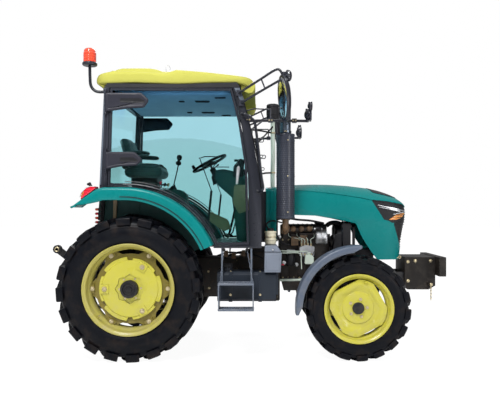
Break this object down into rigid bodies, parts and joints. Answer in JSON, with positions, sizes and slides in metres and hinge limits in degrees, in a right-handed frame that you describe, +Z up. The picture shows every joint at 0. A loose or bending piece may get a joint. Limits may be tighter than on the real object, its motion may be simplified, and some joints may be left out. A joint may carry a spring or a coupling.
{
  "type": "farm tractor",
  "caption": "Compact farm tractor with a glazed cab, lugged tyres, a tilting hood, steered front wheels, swinging doors and a rear three-point hitch.",
  "frame": {"origin": "on the ground, at the middle of the overall length and width", "axes": "+X forward, +Y to the left, +Z up"},
  "size_m": [3.9678, 2.1, 2.979],
  "materials": {
    "teal_paint": "gloss",
    "roof_yellow": "satin",
    "wheel_yellow": "gloss",
    "black_paint": "satin",
    "slate_paint": "satin",
    "iron": "matt",
    "silver": "satin",
    "tyre": "matt",
    "glass": "clear",
    "black_plastic": "matt",
    "grey_plastic": "satin",
    "cream_plastic": "satin",
    "seat_fabric": "matt",
    "red_lens": "gloss",
    "orange_lens": "gloss"
  },
  "bodies": {
    "chassis": {"front_frame": "black_paint", "front_bracket": "black_paint", "engine": "iron", "alternator": "silver", "radiator": "black_paint", "transmission": "iron", "rear_axle": "iron", "front_axle": "iron", "fuel_tank": "slate_paint", "battery_box": "grey_plastic", "expansion_tank": "cream_plastic", "steps": "slate_paint", "exhaust": "black_paint", "air_intake": "black_plastic", "cowl": "teal_paint", "cab_frame": "black_paint", "cab_tub": "black_plastic", "cab_roof": "roof_yellow", "windshield": "glass", "rear_window": "glass", "rear_fenders": "teal_paint", "dashboard": "black_plastic", "seat": "seat_fabric", "levers": "black_plastic", "tail_lamps": "red_lens", "beacon": "orange_lens", "mirrors": "black_plastic", "work_lamps": "black_plastic", "handrails": "black_paint", "drawbar": "black_paint"},
    "hood": {"hood": "teal_paint", "grille": "black_plastic"},
    "steering_wheel": {"steering_wheel": "black_plastic"},
    "lower_links": {"lower_links": "black_paint"},
    "lift_rods": {"lift_rods": "black_paint"},
    "rockshaft": {"rockshaft": "black_paint"},
    "top_link": {"top_link": "black_paint"},
    "rear_wheel_right": {"rear_wheel_right": "wheel_yellow", "rear_tyre_right": "tyre"},
    "front_wheel_right": {"front_wheel_right": "wheel_yellow", "front_tyre_right": "tyre"},
    "knuckle_right": {"knuckle_right": "iron", "front_fender_right": "slate_paint"},
    "door_right": {"door_frame_right": "black_paint", "door_glass_right": "glass"},
    "rear_wheel_left": {"rear_wheel_left": "wheel_yellow", "rear_tyre_left": "tyre"},
    "front_wheel_left": {"front_wheel_left": "wheel_yellow", "front_tyre_left": "tyre"},
    "knuckle_left": {"knuckle_left": "iron", "front_fender_left": "slate_paint"},
    "door_left": {"door_frame_left": "black_paint", "door_glass_left": "glass"}
  },
  "joints": [
    {"name": "rear_wheel_right_spin", "type": "hinge", "parent": "chassis", "child": "rear_wheel_right", "pos_m": [-1.138, -0.7, 0.685], "axis": [0, 1, 0], "continuous": true},
    {"name": "steer_right", "type": "hinge", "parent": "chassis", "child": "knuckle_right", "pos_m": [1.022, -0.52, 0.5], "axis": [0, 0, 1], "range_deg": [-35, 35]},
    {"name": "front_wheel_right_spin", "type": "hinge", "parent": "knuckle_right", "child": "front_wheel_right", "pos_m": [1.022, -0.7, 0.5], "axis": [0, 1, 0], "continuous": true},
    {"name": "door_right_swing", "type": "hinge", "parent": "chassis", "child": "door_right", "pos_m": [-1.376, -0.742, 1.9], "axis": [0, 0, -1], "range_deg": [0, 80]},
    {"name": "rear_wheel_left_spin", "type": "hinge", "parent": "chassis", "child": "rear_wheel_left", "pos_m": [-1.138, 0.7, 0.685], "axis": [0, 1, 0], "continuous": true},
    {"name": "steer_left", "type": "hinge", "parent": "chassis", "child": "knuckle_left", "pos_m": [1.022, 0.52, 0.5], "axis": [0, 0, 1], "range_deg": [-35, 35]},
    {"name": "front_wheel_left_spin", "type": "hinge", "parent": "knuckle_left", "child": "front_wheel_left", "pos_m": [1.022, 0.7, 0.5], "axis": [0, 1, 0], "continuous": true},
    {"name": "door_left_swing", "type": "hinge", "parent": "chassis", "child": "door_left", "pos_m": [-1.376, 0.742, 1.9], "axis": [0, 0, 1], "range_deg": [0, 80]},
    {"name": "hood_lift", "type": "hinge", "parent": "chassis", "child": "hood", "pos_m": [0.276, 0, 1.666], "axis": [0, -1, 0], "range_deg": [0, 55]},
    {"name": "steering_wheel_turn", "type": "hinge", "parent": "chassis", "child": "steering_wheel", "pos_m": [-0.454, 0, 1.932], "axis": [-0.4617, 0, 0.887], "continuous": true},
    {"name": "hitch_lift", "type": "hinge", "parent": "chassis", "child": "lower_links", "pos_m": [-1.269, 0, 0.514], "axis": [0, -1, 0], "range_deg": [0, 60]},
    {"name": "rockshaft_turn", "type": "hinge", "parent": "chassis", "child": "rockshaft", "pos_m": [-1.269, 0, 1], "axis": [0, -1, 0], "range_deg": [0, 60]},
    {"name": "lift_rod_pivot", "type": "hinge", "parent": "lower_links", "child": "lift_rods", "pos_m": [-1.52904, 0, 0.71717], "axis": [0, -1, 0], "range_deg": [-60, 0]},
    {"name": "top_link_swing", "type": "hinge", "parent": "chassis", "child": "top_link", "pos_m": [-1.523, 0, 0.905], "axis": [0, -1, 0], "range_deg": [0, 175]}
  ],
  "couplings": [
    {"joint": "steer_left", "follows": "steer_right", "ratio": 1},
    {"joint": "rockshaft_turn", "follows": "hitch_lift", "ratio": 1},
    {"joint": "lift_rod_pivot", "follows": "hitch_lift", "ratio": -1}
  ]
}
